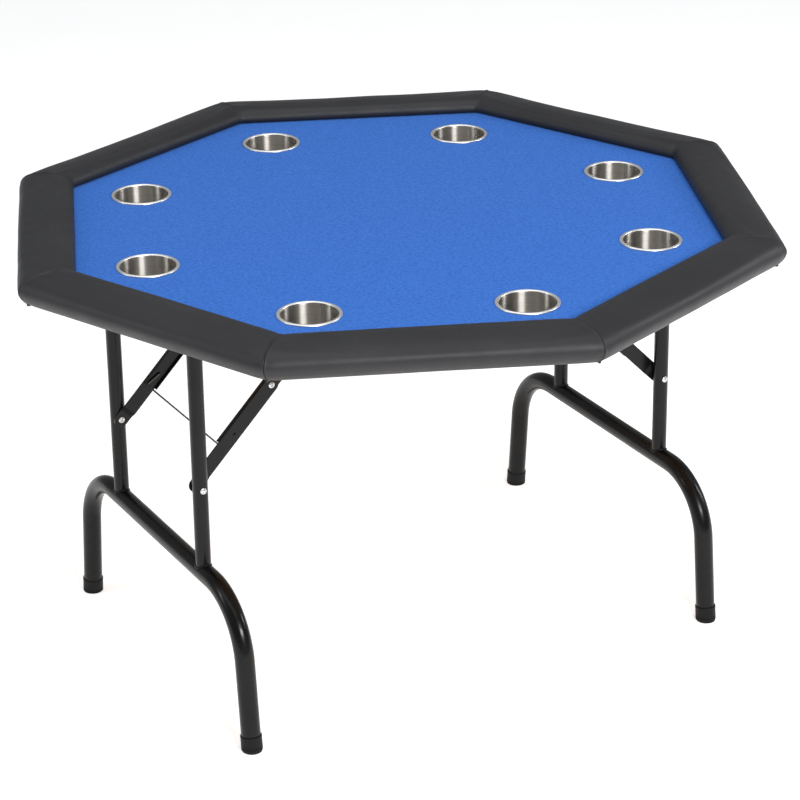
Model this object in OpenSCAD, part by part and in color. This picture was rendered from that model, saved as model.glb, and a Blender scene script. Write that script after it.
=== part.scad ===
// Folding octagonal card table: a felt top with eight cup holders inside a padded rail,
// carried on two wishbone leg frames that fold up under the top.
// Origin: on the floor under the middle of the top. +Z is up. The legs fold about the Y
// direction. "left" is -X and "front" is -Y. A corner of the octagon points along each axis.

/* [Top] */
// Width across opposite straight sides, over the padded rail
across_flats = 1220; // [1200:5:1260]
// Height of the playing surface above the floor
playing_height = 722; // [700:1:740]
// Thickness of the wooden board
board_t = 17.5; // [15:0.5:18]
// Thickness of the foam underlay
underlay_t = 3; // [2:0.5:4]
// Thickness of the felt
felt_t = 1.5; // [1:0.5:2]

/* [Rail] */
// Width of the padded rail
rail_w = 92; // [88:1:96]
// Height of the rail's crown above the playing surface
rail_rise = 26; // [22:1:30]
// How far the padding hangs below the board
pad_drop = 4; // [3:0.5:6]
// Foam beside the wood, on the outside of the rail
outer_foam = 22; // [18:1:26]
// Foam beside the wood, on the inside of the rail
inner_foam = 10; // [8:1:12]
// Thickness of the wooden rail strips
strip_t = 12.5; // [10:0.5:14]
// Radius out to the rounded corners of the rail
corner_r = 656; // [645:1:660]

/* [Cup holders] */
// Distance from the middle of the table to the middle of each cup
cup_circle = 438; // [425:1:442]
// Inside diameter of a cup
cup_bore = 88; // [80:1:90]
// Depth of a cup below the playing surface
cup_depth = 57; // [40:1:60]
// Diameter of a cup's rolled rim
rim_d = 102; // [98:1:106]
// Thickness of the sheet steel
cup_wall = 1; // [0.8:0.1:1.5]

/* [Leg frames] */
// Distance of each leg frame from the middle of the table
leg_x = 437; // [425:1:445]
// Distance of each upright from the table's centre line
upright_y = 161; // [155:1:170]
// Outside diameter of the uprights
upright_d = 25; // [22:0.5:26]
// Outside diameter of the wishbone tube
bow_d = 32; // [28:0.5:34]
// Wall thickness of the steel tubes
tube_wall = 1.2; // [1:0.1:2]
// Distance of each foot from the table's centre line
foot_y = 318; // [305:1:325]
// How far the lower legs splay outwards, in degrees
splay = 5.5; // [3:0.5:7]
// Height of the wishbone's cross bar, to its axis
bow_z = 250; // [235:1:265]
// Radius of the wishbone's bends, to the tube's axis
bend_r = 110; // [90:1:120]
// How far the leg pivots lie below the board
pivot_drop = 20; // [19:0.5:24]
// Diameter of the foot caps
cap_d = 35; // [34:0.5:38]
// Height of the foot caps
cap_h = 27; // [20:1:35]

/* [Braces] */
// Height of the brace's lower pivot above the floor
brace_z = 398; // [385:1:405]
// Distance of the brace's upper pivot from the middle of the table
anchor_x = 158.5; // [156:0.5:162]
// How far the brace's upper pivot lies below the board
anchor_drop = 18; // [17:0.5:20]
// Width of the links
link_w = 25; // [22:0.5:26]
// Thickness of the lower link
link_t = 3; // [2.5:0.5:3]
// Length of the upper channel beyond the middle pivot
channel_tail = 124; // [100:1:130]
// Diameter of the lock wire
wire_d = 3; // [2.5:0.5:3]

/* [Hidden] */
$fn = 48;
SIDES = ["left", "right"];
ENDS = ["front", "back"];
half_turn = 180 / 8;

board_bottom = playing_height - felt_t - underlay_t - board_t;
board_top = board_bottom + board_t;
rail_in = across_flats / 2 - rail_w;
rail_out = across_flats / 2;
wood_in = rail_in + inner_foam;
wood_out = rail_out - outer_foam;
crown_z = playing_height + rail_rise;
pad_bottom = board_bottom - pad_drop;
// The vinyl's edge is fixed flap_w in from the board's own edge
flap_w = 22;
flap_in = wood_out - flap_w;
// The felt and its underlay stop just short of the rail strips
cover_apothem = wood_in - 0.5;
// Clear space between two sides at a mitre
mitre_gap = 0.2;
// The rail strips' outer corners are cut square across, this far out
strip_corner = corner_r - 44;

cup_outer_r = cup_bore / 2 + cup_wall;
board_hole_r = cup_outer_r + 1;
rim_h = 2.4;

// Pins, rivets and screws
pivot_z = board_bottom - pivot_drop;
tube_top = pivot_z + 11;
pin_r = 4;
pin_head_r = 6.5;
rivet_r = 3;
head_r = 5.5;
head_h = 2.2;
tail_h = 2;
fit_gap = 0.05;
screw_r = 2.2;
screw_hole_r = 2.6;
screw_head_h = 2.4;
bracket_screw_l = 14;
// The rail screws reach this far into the rail strips
rail_screw_bite = 8;
rail_screw_line = flap_in - 12;
rail_screw_pitch = 160;
// Depth that holes and cuts run past the faces that they go through
past = 1;

// The wishbone's bends, seen along X. Its tubes end foot_floor above the floor, in the caps.
foot_floor = 5;
bend_end_z = bow_z - bend_r * (1 - sin(splay));
bend_y = foot_y - bend_end_z * tan(splay) - bend_r * cos(splay);

// The brace, seen along Y: s runs from its lower pivot to its upper one, n is up across it
anchor_z = board_bottom - anchor_drop;
brace_run = leg_x - anchor_x;
brace_rise = anchor_z - brace_z;
brace_angle = atan2(brace_rise, brace_run);
brace_length = norm([brace_run, brace_rise]);
link_l = brace_length / 2;
tail_s = link_l - channel_tail;
lock_s = tail_s + 26;
lug_s = link_l - 42;
tongue_l = 22;
// The lower link is set over between these two places, from its foot
set_start = 14;
set_end = 22;
lock_hole_r = 2.5;

// Places along Y, measured from the centre line, from the upright inwards
side_gap = 0.5;
upright_in = upright_y - upright_d / 2;
upright_out = upright_y + upright_d / 2;
link_pad_y = upright_in - side_gap - link_t;
link_y = link_pad_y - link_t;
web_t = 1.5;
web_y = link_y - side_gap - web_t;
flange_h = 5;
flange_y = web_y - flange_h;
ear_t = 3;
anchor_ear_gap = 0.6;
anchor_ear_y = web_y - anchor_ear_gap - ear_t;

// The lock wire's cross bar lies at wire_s along the brace and wire_n above its middle
wire_y = web_y - 2.5;
wire_s = tail_s - 2.5;
wire_n = 7;
wire_bend_r = 2.2;

// The brackets under the board
plate_t = 3;
leg_plate_x = 62;
leg_plate_y = 64;
leg_ear_t = 2;
leg_ear_r = 14;
leg_ear_gap = 0.7;
leg_ear_in = upright_in - leg_ear_gap - leg_ear_t;
leg_ear_out = upright_out + leg_ear_gap;
plate_screw = 24;
anchor_plate_x = 44;
anchor_plate_y = 34;
anchor_ear_r = 9;
anchor_screw_x = 14;
anchor_screw_y = anchor_ear_y - 16;
leg_plate_holes = [
    for (dx = [-1, 1], dy = [-1, 1]) [-leg_x + dx * plate_screw, upright_y + dy * plate_screw]
];
anchor_plate_holes = [for (dx = [-1, 1]) [-anchor_x + dx * anchor_screw_x, anchor_screw_y]];

// ---- Shared shapes ----

module octagon(apothem, height) {
    linear_extrude(height) circle(r = apothem / cos(half_turn), $fn = 8);
}

module at_cup(k) {
    rotate(45 * k) translate([cup_circle, 0, 0]) children();
}

module at_flat(k) {
    rotate(half_turn + 45 * k) children();
}

// The wedge of the table that belongs to one straight side, with its mitres
module side_wedge() {
    reach = rail_out + 20;
    linear_extrude(crown_z + 20) translate([mitre_gap / 2 / sin(half_turn), 0])
        polygon([[0, 0], [reach, -reach * tan(half_turn)], [reach, reach * tan(half_turn)]]);
}

// A section drawn as [distance from the middle, height], run along a straight side
module along_side() {
    intersection() {
        rotate([90, 0, 0]) linear_extrude(2 * rail_out * tan(half_turn), center = true) children();
        side_wedge();
    }
}

// Everything on a leg frame is drawn on the left at the back, and mirrored to its place
module at_side(side) {
    if (side == "right") mirror([1, 0, 0]) children();
    else children();
}

module at_end(end) {
    if (end == "front") mirror([0, 1, 0]) children();
    else children();
}

module both_ends() {
    for (end = ENDS) at_end(end) children();
}

module tube(d, length) {
    difference() {
        cylinder(d = d, h = length);
        translate([0, 0, -past]) cylinder(d = d - 2 * tube_wall, h = length + 2 * past);
    }
}

// A round pin along Y between two distances from the centre line
module y_pin(r, from_y, to_y) {
    translate([0, from_y, 0]) rotate([-90, 0, 0]) cylinder(r = r, h = to_y - from_y);
}

// The brace's own directions: x along s, y as it is, z along n
module in_brace() {
    translate([-leg_x, 0, brace_z]) rotate([0, -brace_angle, 0]) children();
}

// A flat strip of the links' outline between two points of s, from from_y to to_y
module link_outline(s0, s1, from_y, to_y) {
    end_r = link_w / 2;
    for (s = [s0, s1]) translate([s, 0, 0]) y_pin(end_r, from_y, to_y);
    translate([s0, from_y, -end_r]) cube([s1 - s0, to_y - from_y, link_w]);
}

// ---- The top ----

module board() {
    color("burlywood") difference() {
        translate([0, 0, board_bottom]) octagon(wood_out, board_t);
        for (k = [0:7]) at_cup(k)
            translate([0, 0, board_bottom - past]) cylinder(r = board_hole_r, h = board_t + 2 * past);
    }
}

module cover_sheet(z, thickness) {
    difference() {
        translate([0, 0, z]) octagon(cover_apothem, thickness);
        for (k = [0:7]) at_cup(k)
            translate([0, 0, z - past]) cylinder(r = board_hole_r, h = thickness + 2 * past);
    }
}

module underlay() {
    color("gainsboro") cover_sheet(board_top, underlay_t);
}

module felt() {
    color("royalblue") cover_sheet(board_top + underlay_t, felt_t);
}

// The wooden strip along one straight side, before it is turned to its place. The flats of the
// unturned octagon face its two corners, and cut them square.
module rail_strip() {
    intersection() {
        along_side() translate([wood_in, board_top]) square([wood_out - wood_in, strip_t]);
        translate([0, 0, board_bottom]) octagon(strip_corner, board_t + 2 * strip_t);
    }
}

module rail_strips() {
    color("tan") for (k = [0:7]) at_flat(k) rail_strip();
}

// The padding's section: a low D with a soft inner edge and a full, round outer edge that
// tucks in below, open underneath for the board and beside the felt
module pad_section() {
    lip_r = 8;
    crown_r = 24;
    edge_r = 22;
    hem_r = 5;
    edge_drop = 4;
    tuck = 14;
    difference() {
        hull() {
            translate([rail_in + lip_r, crown_z - 5 - lip_r]) circle(lip_r, $fn = 32);
            translate([rail_in + 0.42 * rail_w, crown_z - crown_r]) circle(crown_r, $fn = 32);
            translate([rail_out - edge_r, crown_z - edge_drop - edge_r]) circle(edge_r, $fn = 32);
            translate([rail_out - tuck - hem_r, pad_bottom + hem_r]) circle(hem_r, $fn = 32);
            translate([flap_in, pad_bottom]) square(1);
            translate([rail_in, playing_height]) square(1);
        }
        translate([0, pad_bottom - past]) square([flap_in, pad_drop + past]);
        translate([0, board_bottom]) square([wood_out, board_t]);
        translate([0, board_top]) square([wood_in, playing_height - board_top]);
    }
}

module rail_pad(k) {
    color("#333336") at_flat(k) difference() {
        intersection() {
            along_side() pad_section();
            translate([0, 0, pad_bottom - past])
                cylinder(r = corner_r, h = crown_z - pad_bottom + 2 * past, $fn = 96);
        }
        rail_strip();
    }
}

// Sheet-steel cup with a rolled rim that rests on the felt
module cup(k) {
    inner_r = cup_bore / 2;
    chamfer = 5;
    rim_r = rim_d / 2;
    bottom = playing_height - cup_depth;
    color("lightgray") at_cup(k) rotate_extrude($fn = 96) polygon([
        [0, bottom], [cup_outer_r - chamfer, bottom], [cup_outer_r, bottom + chamfer],
        [cup_outer_r, playing_height], [rim_r, playing_height], [rim_r, playing_height + 0.8],
        [rim_r - 1.6, playing_height + rim_h], [inner_r + 1.6, playing_height + rim_h],
        [inner_r, playing_height + 1], [inner_r, bottom + chamfer + 0.4],
        [inner_r - chamfer + 0.4, bottom + cup_wall], [0, bottom + cup_wall]
    ]);
}

// ---- Brackets and fasteners under the top ----

// Holes for wood screws through a bracket's plate, at [x, y] offsets on the board's underside
module plate_holes(places) {
    for (place = places)
        translate([place.x, place.y, board_bottom - plate_t - past])
            cylinder(r = screw_hole_r, h = plate_t + 2 * past);
}

// An ear that hangs from a plate and ends round, at x, about a hole at height z
module ear(x, z, r, hole_r, from_y, thickness) {
    difference() {
        union() {
            translate([x, 0, z]) y_pin(r, from_y, from_y + thickness);
            translate([x - r, from_y, z]) cube([2 * r, thickness, board_bottom - plate_t - z]);
        }
        translate([x, 0, z]) y_pin(hole_r, from_y - past, from_y + thickness + past);
    }
}

module leg_bracket(side, end) {
    color("#262627") at_side(side) at_end(end) {
        difference() {
            translate([-leg_x - leg_plate_x / 2, upright_y - leg_plate_y / 2, board_bottom - plate_t])
                cube([leg_plate_x, leg_plate_y, plate_t]);
            plate_holes(leg_plate_holes);
        }
        for (from_y = [leg_ear_in, leg_ear_out])
            ear(-leg_x, pivot_z, leg_ear_r, pin_r + fit_gap, from_y, leg_ear_t);
    }
}

module brace_bracket(side, end) {
    color("#262627") at_side(side) at_end(end) {
        difference() {
            translate([-anchor_x - anchor_plate_x / 2, anchor_ear_y + ear_t - anchor_plate_y,
                       board_bottom - plate_t])
                cube([anchor_plate_x, anchor_plate_y, plate_t]);
            plate_holes(anchor_plate_holes);
        }
        ear(-anchor_x, anchor_z, anchor_ear_r, rivet_r + fit_gap, anchor_ear_y, ear_t);
    }
}

// A pan-head wood screw: its head hangs below z = 0 and its shank goes up
module wood_screw(length) {
    head_r1 = 2.6;
    head_r2 = 4.4;
    translate([0, 0, -screw_head_h]) cylinder(r1 = head_r1, r2 = head_r2, h = screw_head_h);
    cylinder(r = screw_r, h = length);
}

module bracket_screws() {
    color("silver") for (side = SIDES, end = ENDS) at_side(side) at_end(end)
        for (place = concat(leg_plate_holes, anchor_plate_holes))
            translate([place.x, place.y, board_bottom - plate_t]) wood_screw(bracket_screw_l);
}

module rail_screws() {
    color("dimgray") for (k = [0:7]) at_flat(k) for (along = [-1:1])
        translate([rail_screw_line, along * rail_screw_pitch, board_bottom])
            wood_screw(board_t + rail_screw_bite);
}

// A pin along Y through two faces, with a head beyond each of them
module headed_pin(r, from_y, to_y, cap_r, cap_from, cap_to) {
    y_pin(r, from_y, to_y);
    y_pin(cap_r, from_y - cap_from, from_y);
    y_pin(cap_r, to_y, to_y + cap_to);
}

module leg_pivot_pins() {
    color("silver") for (side = SIDES, end = ENDS) at_side(side) at_end(end)
        translate([-leg_x, 0, pivot_z])
            headed_pin(pin_r, leg_ear_in, leg_ear_out + leg_ear_t, pin_head_r, head_h, head_h);
}

module brace_top_rivets() {
    low_head_h = 1.4;
    color("silver") for (side = SIDES, end = ENDS) at_side(side) at_end(end)
        translate([-anchor_x, 0, anchor_z])
            headed_pin(rivet_r, anchor_ear_y, web_y + web_t, head_r, tail_h, low_head_h);
}

// ---- Leg frames ----

// A foot's own directions: z runs up the splayed tube from the floor
module in_foot() {
    translate([-leg_x, foot_y, 0]) rotate([splay, 0, 0]) children();
}

// One bend of the wishbone. It laps over the straight tubes by a fraction of a degree and
// is a hair thicker than they are, so that all of them join into one solid.
module bow_bend() {
    lap = 0.3;
    skin = 0.01;
    translate([-leg_x, bend_y, bow_z - bend_r]) rotate([0, -90, 0]) rotate(-lap)
        rotate_extrude(angle = 90 - splay + 2 * lap, $fn = 96) translate([bend_r, 0]) difference() {
            circle(r = bow_d / 2 + skin);
            circle(r = bow_d / 2 - tube_wall - skin);
        }
}

// The wishbone: one tube from foot to foot, up and over through two bends
module bow(side) {
    color("#1f1f20") at_side(side) {
        both_ends() {
            in_foot() translate([0, 0, foot_floor]) tube(bow_d, bend_end_z / cos(splay) - foot_floor);
            bow_bend();
        }
        translate([-leg_x, -bend_y, bow_z]) rotate([-90, 0, 0]) tube(bow_d, 2 * bend_y);
    }
}

// An upright, coped over the wishbone, with its pivot and brace holes
module upright(side, end) {
    cope_r = bow_d / 2 + 0.02;
    color("#1f1f20") at_side(side) at_end(end) difference() {
        translate([-leg_x, upright_y, bow_z]) tube(upright_d, tube_top - bow_z);
        translate([-leg_x, 0, bow_z]) y_pin(cope_r, upright_y - 30, upright_y + 30);
        translate([-leg_x, 0, pivot_z]) y_pin(pin_r + fit_gap, upright_in - 5, upright_y + 20);
        translate([-leg_x, 0, brace_z]) y_pin(rivet_r + fit_gap, upright_in - 5, upright_y + 20);
    }
}

// A cap pushed over the end of the tube, with its sole cut level with the floor
module foot_cap(side, end) {
    cap_r = cap_d / 2;
    bore_r = bow_d / 2 + fit_gap;
    color("#202021") at_side(side) at_end(end) difference() {
        in_foot() rotate_extrude($fn = 96) polygon([
            [0, -4], [cap_r, -4], [cap_r, cap_h - 1.5], [cap_r - 1, cap_h],
            [bore_r, cap_h], [bore_r, foot_floor], [0, foot_floor]
        ]);
        translate([-leg_x - cap_d, foot_y - cap_d, -cap_d]) cube([2 * cap_d, 2 * cap_d, cap_d]);
    }
}

module leg_welds(side) {
    weld_h = 9;
    color("#2a2a2b") at_side(side) both_ends() difference() {
        translate([-leg_x, upright_y, bow_z + 8])
            cylinder(r1 = upright_d / 2 + 4.5, r2 = upright_d / 2 + 0.6, h = weld_h);
        translate([-leg_x, upright_y, bow_z]) cylinder(d = upright_d + 2 * fit_gap, h = 40);
        translate([-leg_x, 0, bow_z]) y_pin(bow_d / 2 + fit_gap, upright_y - 30, upright_y + 30);
    }
}

module brace_foot_rivets(side) {
    color("silver") at_side(side) both_ends() translate([-leg_x, 0, brace_z])
        headed_pin(rivet_r, link_pad_y, upright_out, head_r, head_h, head_h);
}

// ---- Braces ----

// The lower link: a flat bar, set over by its own thickness near its foot
module lower_link(side, end) {
    tip = link_l + link_w / 2 + 1;
    color("#232324") at_side(side) at_end(end) in_brace() difference() {
        intersection() {
            link_outline(0, link_l, link_y - 1, link_pad_y + link_t + 1);
            translate([0, 0, -link_w]) linear_extrude(2 * link_w) polygon([
                [-link_w, link_pad_y + link_t], [set_start, link_pad_y + link_t],
                [set_end, link_y + link_t], [tip, link_y + link_t], [tip, link_y],
                [set_end - 1, link_y], [set_start - 1, link_pad_y], [-link_w, link_pad_y]
            ]);
        }
        y_pin(rivet_r + fit_gap, link_y - 2, link_pad_y + 2 * link_t);
        translate([link_l, 0, 0]) y_pin(rivet_r + fit_gap, link_y - 2, link_y + 2 * link_t);
        translate([lock_s, 0, 0]) y_pin(lock_hole_r, link_y - 2, link_y + 2 * link_t);
    }
}

module knee_rivets(side) {
    color("silver") at_side(side) both_ends() in_brace() translate([link_l, 0, 0]) {
        y_pin(rivet_r, link_y, link_y + link_t);
        y_pin(head_r, link_y + link_t, link_y + link_t + head_h);
    }
}

// The upper link: a shallow channel that runs on past the knee, with a flat tongue at the
// top and a lug that hooks over the lower link's edge to stop the brace going over centre
module upper_link(side, end) {
    half_w = link_w / 2 + 0.4;
    lug_w = 11;
    lug_gap = 0.4;
    lug_top = half_w + web_t;
    lug_reach = link_y + link_t + lug_gap;
    flange_end = brace_length - tongue_l;
    color("#232324") at_side(side) at_end(end) in_brace() difference() {
        union() {
            translate([brace_length, 0, 0]) y_pin(link_w / 2, web_y, web_y + web_t);
            translate([tail_s, web_y, -half_w]) cube([flange_end - tail_s, web_t, 2 * half_w]);
            translate([flange_end - 1, web_y, -link_w / 2])
                cube([tongue_l + 1, web_t, link_w]);
            for (n = [-half_w, half_w - web_t])
                translate([tail_s, flange_y, n]) cube([flange_end - tail_s, web_y - flange_y, web_t]);
            translate([lug_s - lug_w / 2, web_y, half_w - web_t])
                cube([lug_w, web_t, 2 * web_t]);
            translate([lug_s - lug_w / 2, web_y, half_w])
                cube([lug_w, lug_reach + web_t - web_y, web_t]);
            translate([lug_s - lug_w / 2, lug_reach, half_w - 5]) cube([lug_w, web_t, 5 + web_t]);
        }
        for (s = [link_l, brace_length])
            translate([s, 0, 0]) y_pin(rivet_r + fit_gap, web_y - 2, web_y + 2 * web_t);
        translate([lock_s, 0, 0]) y_pin(wire_d / 2 + fit_gap, web_y - 2, web_y + 2 * web_t);
    }
}

module knee_rivet_tails(side) {
    color("silver") at_side(side) both_ends() in_brace() translate([link_l, 0, 0]) {
        y_pin(rivet_r, web_y, web_y + web_t);
        y_pin(head_r, web_y - tail_h, web_y);
    }
}

// A quarter bend of the lock wire about a centre in its own plane
module wire_bend(centre, start) {
    translate(centre) rotate(start) rotate_extrude(angle = 90) translate([wire_bend_r, 0]) circle(d = wire_d);
}

// The lock wire: a bail whose turned-out ends pivot in the two channels. It lies in one
// plane, with x along its arms and its pivot at x = 0.
module lock_wire(side) {
    arm_angle = atan2(wire_n, wire_s - lock_s);
    arm_l = norm([wire_n, wire_s - lock_s]);
    bar_end = wire_y - wire_bend_r;
    color("gray") at_side(side) in_brace() translate([lock_s, 0, 0]) rotate([0, -arm_angle, 0]) {
        both_ends() {
            y_pin(wire_d / 2, wire_y + wire_bend_r, web_y + web_t - 0.2);
            wire_bend([wire_bend_r, wire_y + wire_bend_r, 0], 180);
            translate([wire_bend_r, wire_y, 0]) rotate([0, 90, 0])
                cylinder(d = wire_d, h = arm_l - 2 * wire_bend_r);
            wire_bend([arm_l - wire_bend_r, bar_end, 0], 0);
        }
        translate([arm_l, 0, 0]) y_pin(wire_d / 2, -bar_end, bar_end);
    }
}

board();
underlay();
felt();
rail_strips();
bracket_screws();
rail_screws();
leg_pivot_pins();
brace_top_rivets();
for (k = [0:7]) {
    rail_pad(k);
    cup(k);
}
for (side = SIDES) {
    bow(side);
    leg_welds(side);
    brace_foot_rivets(side);
    knee_rivets(side);
    knee_rivet_tails(side);
    lock_wire(side);
    for (end = ENDS) {
        place = str(side, "_", end);
        leg_bracket(side, end);
        brace_bracket(side, end);
        upright(side, end);
        foot_cap(side, end);
        lower_link(side, end);
        upper_link(side, end);
    }
}
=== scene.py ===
"""The looks of a folding octagonal card table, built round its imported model.

Everything is in metres, in the model's own frame: the floor is z = 0, a corner of the octagon
points along each axis, "left" is -X and "front" is -Y. Straight side k (0 to 7) faces
22.5 + 45 k degrees, and cup k sits at 45 k degrees.
"""

import math
import random

import bpy
import numpy as np
from mathutils import Matrix, Quaternion, Vector, geometry, noise


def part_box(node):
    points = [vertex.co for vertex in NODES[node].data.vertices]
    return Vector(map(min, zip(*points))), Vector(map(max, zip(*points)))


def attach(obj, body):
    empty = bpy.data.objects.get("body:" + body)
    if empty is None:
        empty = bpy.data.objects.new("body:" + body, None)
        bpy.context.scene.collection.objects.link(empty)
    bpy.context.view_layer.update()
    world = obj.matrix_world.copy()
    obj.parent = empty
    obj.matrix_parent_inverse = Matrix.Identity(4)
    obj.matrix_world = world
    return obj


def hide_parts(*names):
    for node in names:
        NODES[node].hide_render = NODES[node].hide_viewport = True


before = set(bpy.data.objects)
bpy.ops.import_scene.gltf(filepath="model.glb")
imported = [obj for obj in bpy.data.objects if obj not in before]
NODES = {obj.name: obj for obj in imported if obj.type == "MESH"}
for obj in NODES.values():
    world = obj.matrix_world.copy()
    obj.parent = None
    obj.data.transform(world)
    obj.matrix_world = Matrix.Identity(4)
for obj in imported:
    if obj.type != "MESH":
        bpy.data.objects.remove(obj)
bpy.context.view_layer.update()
SIDES = {"left": -1, "right": 1}
ENDS = {"front": -1, "back": 1}
MM = 0.001

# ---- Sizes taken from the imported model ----

HALF_TURN = math.radians(22.5)
TAN_HALF = math.tan(HALF_TURN)


def side_normal(k):
    """The outward direction of straight side k."""
    angle = HALF_TURN + k * math.radians(45)
    return Vector((math.cos(angle), math.sin(angle), 0))


def vertices_of(node):
    co = np.zeros(len(NODES[node].data.vertices) * 3, np.float32)
    NODES[node].data.vertices.foreach_get("co", co)
    return co.reshape(-1, 3).astype(float)


def reach(node, direction):
    """How near and how far a node's vertices lie along a direction."""
    along = vertices_of(node) @ np.array(direction)
    return float(along.min()), float(along.max())


def solids_of(node):
    """The lowest and highest corner of each separate solid in a node."""
    points = vertices_of(node)
    _, same = np.unique(np.round(points, 6), axis=0, return_inverse=True)
    same = same.ravel()
    group = np.arange(same.max() + 1)
    corners = np.array([same[list(p.vertices)] for p in NODES[node].data.polygons])
    for _ in range(len(group)):
        before = group.copy()
        lowest = group[corners].min(axis=1)
        for i in range(corners.shape[1]):
            np.minimum.at(group, corners[:, i], lowest)
        group = group[group]
        if (group == before).all():
            break
    found = [points[group[same] == g] for g in np.unique(group)]
    return [(Vector(p.min(0)), Vector(p.max(0))) for p in found]


RAIL_IN, RAIL_OUT = reach("rail_pad_1", side_normal(0))
WOOD_IN, WOOD_OUT = reach("felt", side_normal(0))[1], reach("board", side_normal(0))[1]
PLAY_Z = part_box("felt")[1].z
FELT_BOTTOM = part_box("felt")[0].z
BOARD_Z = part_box("board")[0].z
STRIP_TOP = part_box("rail_strips")[1].z
HEM_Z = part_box("rail_pad_1")[0].z
CROWN_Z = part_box("rail_pad_1")[1].z
FLAP_IN = WOOD_OUT - 22 * MM

# ---- Materials ----


def srgb(r, g, b):
    """A colour given as it looks on a screen, 0 to 255, as the shader wants it."""
    def linear(c):
        c /= 255
        return c / 12.92 if c <= 0.04045 else ((c + 0.055) / 1.055) ** 2.4

    return (linear(r), linear(g), linear(b), 1)


class Look:
    """A node-based material, built up a layer at a time on the object's own coordinates."""

    def __init__(self, name, **values):
        self.material = bpy.data.materials.new(name)
        self.material.use_nodes = True
        self.nodes = self.material.node_tree.nodes
        self.links = self.material.node_tree.links
        self.shader = self.nodes["Principled BSDF"]
        self.place = self.nodes.new("ShaderNodeTexCoord").outputs["Object"]
        self.normal = None
        for socket, value in values.items():
            self.shader.inputs[socket.replace("_", " ")].default_value = value

    def noise(self, scale, detail=3, stretch=(1, 1, 1), roughness=0.55):
        """A noise pattern, scale times a metre, drawn out along an axis by stretch."""
        mapping = self.nodes.new("ShaderNodeMapping")
        mapping.inputs["Scale"].default_value = stretch
        self.links.new(self.place, mapping.inputs["Vector"])
        texture = self.nodes.new("ShaderNodeTexNoise")
        texture.inputs["Scale"].default_value = scale
        texture.inputs["Detail"].default_value = detail
        texture.inputs["Roughness"].default_value = roughness
        self.links.new(mapping.outputs["Vector"], texture.inputs["Vector"])
        return texture.outputs["Fac"]

    def cells(self, scale, feature="DISTANCE_TO_EDGE"):
        texture = self.nodes.new("ShaderNodeTexVoronoi")
        texture.feature = feature
        texture.inputs["Scale"].default_value = scale
        self.links.new(self.place, texture.inputs["Vector"])
        return texture.outputs["Distance"]

    def ramp(self, value, *stops):
        """value turned into a colour or grey by stops of (place, colour)."""
        node = self.nodes.new("ShaderNodeValToRGB")
        elements = node.color_ramp.elements
        while len(elements) < len(stops):
            elements.new(0.5)
        for element, (place, colour) in zip(elements, stops):
            element.position = place
            element.color = colour if hasattr(colour, "__len__") else (colour, colour, colour, 1)
        self.links.new(value, node.inputs["Fac"])
        return node.outputs["Color"]

    def mix(self, share, a, b):
        """Colour a where share is 0 and b where it is 1."""
        node = self.nodes.new("ShaderNodeMix")
        node.data_type = "RGBA"
        for socket, value in (("Factor", share), ("A", a), ("B", b)):
            target = next(s for s in node.inputs if s.name == socket and s.enabled)
            if isinstance(value, bpy.types.NodeSocket):
                self.links.new(value, target)
            else:
                target.default_value = value
        return next(s for s in node.outputs if s.enabled)

    def drive(self, socket, value):
        self.links.new(value, self.shader.inputs[socket])
        return self

    def bump(self, height, depth, strength=1.0):
        """Adds relief of that depth in metres on top of the relief that is there."""
        node = self.nodes.new("ShaderNodeBump")
        node.inputs["Distance"].default_value = depth
        node.inputs["Strength"].default_value = strength
        self.links.new(height, node.inputs["Height"])
        if self.normal is not None:
            self.links.new(self.normal, node.inputs["Normal"])
        self.normal = node.outputs["Normal"]
        self.links.new(self.normal, self.shader.inputs["Normal"])
        return self


def vinyl():
    look = Look("vinyl", Specular_IOR_Level=0.42)
    tone = look.noise(6, detail=2)
    look.drive("Base Color", look.ramp(tone, (0.35, srgb(29, 29, 32)), (0.65, srgb(35, 35, 38))))
    scuff = look.noise(35, detail=4)
    look.drive("Roughness", look.ramp(scuff, (0.3, 0.46), (0.7, 0.54)))
    grain = look.ramp(look.cells(1100), (0.0, 0.0), (0.12, 1.0))
    look.bump(grain, 0.06 * MM, 0.5)
    look.bump(look.noise(260, detail=3), 0.12 * MM, 0.35)
    return look.material


def felt():
    look = Look(
        "felt", Roughness=0.92, Specular_IOR_Level=0.15, Sheen_Weight=0.25, Sheen_Roughness=0.45
    )
    look.shader.inputs["Sheen Tint"].default_value = srgb(150, 185, 245)
    fibres = look.noise(1500, detail=2)
    blotches = look.noise(24, detail=4, roughness=0.7)
    strands = look.noise(330, detail=5, roughness=0.75)
    flecks = look.noise(190, detail=4, roughness=0.7)
    fine = look.ramp(fibres, (0.3, srgb(34, 90, 175)), (0.7, srgb(52, 110, 195)))
    broad = look.ramp(blotches, (0.3, srgb(37, 95, 181)), (0.7, srgb(48, 107, 195)))
    matted = look.ramp(
        strands, (0.32, srgb(30, 80, 166)), (0.5, srgb(48, 104, 192)), (0.7, srgb(72, 128, 212))
    )
    flecked = look.ramp(
        flecks, (0.36, srgb(20, 68, 154)), (0.5, srgb(44, 102, 191)), (0.66, srgb(62, 121, 207))
    )
    ground = look.mix(0.45, look.mix(0.5, fine, broad), matted)
    look.drive("Base Color", look.mix(0.4, ground, flecked))
    look.bump(fibres, 0.25 * MM, 0.6)
    look.bump(strands, 0.3 * MM, 0.3)
    look.bump(flecks, 0.3 * MM, 0.3)
    return look.material


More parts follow.
